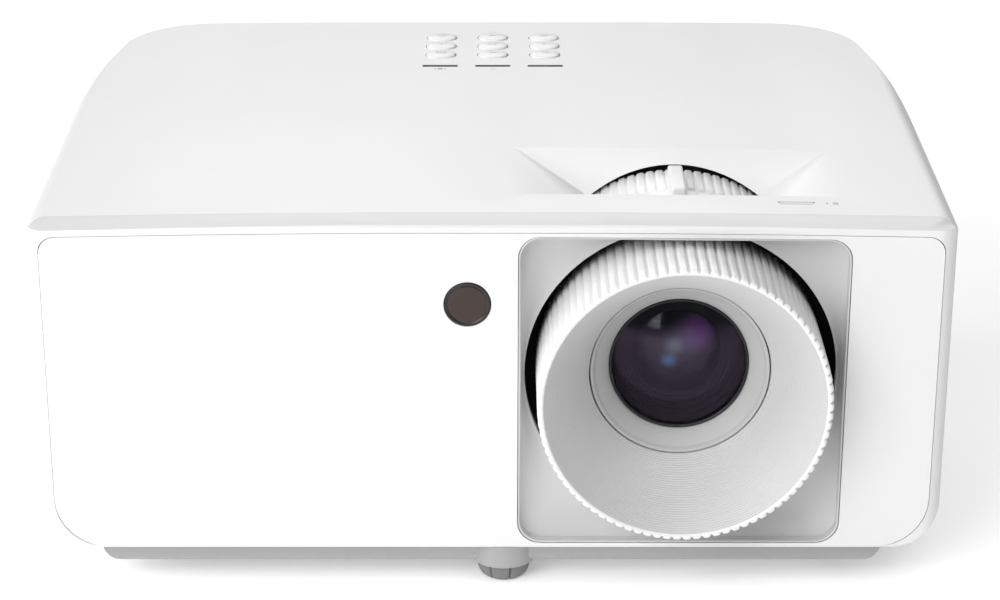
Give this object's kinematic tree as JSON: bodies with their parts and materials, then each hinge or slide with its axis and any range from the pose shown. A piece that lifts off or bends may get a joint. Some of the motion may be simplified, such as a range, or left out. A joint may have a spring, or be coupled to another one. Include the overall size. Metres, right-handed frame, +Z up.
{
  "type": "home projector",
  "caption": "White desktop projector with a large knurled focus ring at one side of the front, a zoom ring in a top pocket, a keypad, side grilles and rear sockets.",
  "frame": {"origin": "on the surface the projector stands on, about under the middle of its bounding box", "axes": "+X to the right for someone facing the lens side, -Y the way the lens looks, +Z up"},
  "size_m": [0.274, 0.2189, 0.1203],
  "materials": {
    "white_plastic": "fine satin texture",
    "grey_plastic": "fine satin texture",
    "black_plastic": "satin",
    "window_plastic": "polished, dark",
    "light_pipe": "smoked",
    "optical_glass": "coated and polished",
    "phosphor": "yellow phosphor on polished aluminium",
    "circuit_board": "solder mask",
    "aluminium": "machined",
    "cast_metal": "die-cast",
    "copper": "drawn",
    "brass": "turned",
    "steel": "plated",
    "blue_plastic": "satin",
    "foot_rubber": "moulded",
    "components": "mixed parts"
  },
  "bodies": {
    "housing": {"bottom_case": "white_plastic", "top_cover": "white_plastic", "front_bezel": "white_plastic", "lens_surround": "grey_plastic", "lens_shroud": "black_plastic", "rear_panel": "grey_plastic", "intake_grille": "white_plastic", "exhaust_grille": "white_plastic", "ir_window": "window_plastic", "indicator_light_pipes": "light_pipe", "front_stop_pads": "foot_rubber", "mount_inserts": "brass", "case_screws": "steel", "keypad_board": "circuit_board", "ir_receiver_board": "circuit_board", "main_board": "circuit_board", "hdmi_and_usb_ports": "steel", "vga_port": "blue_plastic", "serial_port": "steel", "audio_jacks": "black_plastic", "port_jack_nuts": "steel", "ac_inlet": "black_plastic", "power_board": "circuit_board", "power_components": "components", "engine_housing": "cast_metal", "relay_optics": "optical_glass", "laser_module": "aluminium", "laser_heatsink": "aluminium", "heat_pipes": "copper", "dmd_board": "circuit_board", "dmd_heatsink": "aluminium", "wheel_motor": "steel", "speaker": "components", "intake_fan_frame": "black_plastic", "exhaust_fan_frame": "black_plastic", "lens_barrel": "cast_metal", "rear_lens_group": "optical_glass"},
    "focus_ring_body": {"focus_ring": "white_plastic"},
    "front_cell_body": {"front_lens_cell": "cast_metal", "front_lens": "optical_glass"},
    "zoom_ring_body": {"zoom_ring": "white_plastic"},
    "zoom_cell_body": {"zoom_cell": "cast_metal"},
    "phosphor_wheel_body": {"phosphor_wheel": "phosphor"},
    "intake_fan_body": {"intake_fan_rotor": "black_plastic"},
    "exhaust_fan_body": {"exhaust_fan_rotor": "black_plastic"},
    "front_foot_screw": {"front_foot_stem": "steel"},
    "front_foot_wheel": {"front_foot_pad": "foot_rubber"},
    "rear_foot_left_screw": {"rear_foot_left_stem": "steel"},
    "rear_foot_left_wheel": {"rear_foot_left_pad": "foot_rubber"},
    "rear_foot_right_screw": {"rear_foot_right_stem": "steel"},
    "rear_foot_right_wheel": {"rear_foot_right_pad": "foot_rubber"},
    "power_button_body": {"power_button": "white_plastic"},
    "up_button_body": {"up_button": "white_plastic"},
    "menu_button_body": {"menu_button": "white_plastic"},
    "left_button_body": {"left_button": "white_plastic"},
    "enter_button_body": {"enter_button": "white_plastic"},
    "right_button_body": {"right_button": "white_plastic"},
    "source_button_body": {"source_button": "white_plastic"},
    "down_button_body": {"down_button": "white_plastic"},
    "return_button_body": {"return_button": "white_plastic"}
  },
  "joints": [
    {"name": "focus_turn", "type": "hinge", "parent": "housing", "child": "focus_ring_body", "pos_m": [0.0564, -0.09, 0.0679], "axis": [0, 1, 0], "range_deg": [-60, 60]},
    {"name": "front_cell_slide", "type": "slide", "parent": "housing", "child": "front_cell_body", "axis": [0, 1, 0], "range_m": [-0.0012, 0.0012]},
    {"name": "zoom_turn", "type": "hinge", "parent": "housing", "child": "zoom_ring_body", "pos_m": [0.0564, -0.045, 0.0679], "axis": [0, 1, 0], "range_deg": [-20, 20]},
    {"name": "zoom_cell_slide", "type": "slide", "parent": "housing", "child": "zoom_cell_body", "axis": [0, 1, 0], "range_m": [-0.005, 0.005]},
    {"name": "phosphor_wheel_spin", "type": "hinge", "parent": "housing", "child": "phosphor_wheel_body", "pos_m": [-0.014, 0.014, 0.046], "axis": [1, 0, 0], "continuous": true},
    {"name": "intake_fan_spin", "type": "hinge", "parent": "housing", "child": "intake_fan_body", "pos_m": [-0.122, 0.008, 0.066], "axis": [1, 0, 0], "continuous": true},
    {"name": "exhaust_fan_spin", "type": "hinge", "parent": "housing", "child": "exhaust_fan_body", "pos_m": [0.122, 0.008, 0.066], "axis": [1, 0, 0], "continuous": true},
    {"name": "front_foot_lift", "type": "slide", "parent": "housing", "child": "front_foot_screw", "axis": [0, 0, 1], "range_m": [-0.006, 0.0055]},
    {"name": "front_foot_turn", "type": "hinge", "parent": "front_foot_screw", "child": "front_foot_wheel", "pos_m": [0.0037, -0.0805, 0.003], "axis": [0, 0, 1], "range_deg": [-1081, 991]},
    {"name": "rear_foot_left_lift", "type": "slide", "parent": "housing", "child": "rear_foot_left_screw", "axis": [0, 0, 1], "range_m": [-0.006, 0.0055]},
    {"name": "rear_foot_left_turn", "type": "hinge", "parent": "rear_foot_left_screw", "child": "rear_foot_left_wheel", "pos_m": [-0.098, 0.084, 0.003], "axis": [0, 0, 1], "range_deg": [-1081, 991]},
    {"name": "rear_foot_right_lift", "type": "slide", "parent": "housing", "child": "rear_foot_right_screw", "axis": [0, 0, 1], "range_m": [-0.006, 0.0055]},
    {"name": "rear_foot_right_turn", "type": "hinge", "parent": "rear_foot_right_screw", "child": "rear_foot_right_wheel", "pos_m": [0.098, 0.084, 0.003], "axis": [0, 0, 1], "range_deg": [-1081, 991]},
    {"name": "power_button_press", "type": "slide", "parent": "housing", "child": "power_button_body", "axis": [0, 0, -1], "range_m": [0, 0.0008], "stiffness_N_per_m": 400, "springref_m": -0.0008},
    {"name": "up_button_press", "type": "slide", "parent": "housing", "child": "up_button_body", "axis": [0, 0, -1], "range_m": [0, 0.0008], "stiffness_N_per_m": 400, "springref_m": -0.0008},
    {"name": "menu_button_press", "type": "slide", "parent": "housing", "child": "menu_button_body", "axis": [0, 0, -1], "range_m": [0, 0.0008], "stiffness_N_per_m": 400, "springref_m": -0.0008},
    {"name": "left_button_press", "type": "slide", "parent": "housing", "child": "left_button_body", "axis": [0, 0, -1], "range_m": [0, 0.0008], "stiffness_N_per_m": 400, "springref_m": -0.0008},
    {"name": "enter_button_press", "type": "slide", "parent": "housing", "child": "enter_button_body", "axis": [0, 0, -1], "range_m": [0, 0.0008], "stiffness_N_per_m": 400, "springref_m": -0.0008},
    {"name": "right_button_press", "type": "slide", "parent": "housing", "child": "right_button_body", "axis": [0, 0, -1], "range_m": [0, 0.0008], "stiffness_N_per_m": 400, "springref_m": -0.0008},
    {"name": "source_button_press", "type": "slide", "parent": "housing", "child": "source_button_body", "axis": [0, 0, -1], "range_m": [0, 0.0008], "stiffness_N_per_m": 400, "springref_m": -0.0008},
    {"name": "down_button_press", "type": "slide", "parent": "housing", "child": "down_button_body", "axis": [0, 0, -1], "range_m": [0, 0.0008], "stiffness_N_per_m": 400, "springref_m": -0.0008},
    {"name": "return_button_press", "type": "slide", "parent": "housing", "child": "return_button_body", "axis": [0, 0, -1], "range_m": [0, 0.0008], "stiffness_N_per_m": 400, "springref_m": -0.0008}
  ],
  "couplings": [
    {"joint": "front_cell_slide", "follows": "focus_turn", "m_per_rad": 0.0011459},
    {"joint": "zoom_cell_slide", "follows": "zoom_turn", "m_per_rad": 0.014324},
    {"joint": "front_foot_turn", "follows": "front_foot_lift", "rad_per_m": 3141.6},
    {"joint": "rear_foot_left_turn", "follows": "rear_foot_left_lift", "rad_per_m": 3141.6},
    {"joint": "rear_foot_right_turn", "follows": "rear_foot_right_lift", "rad_per_m": 3141.6}
  ]
}
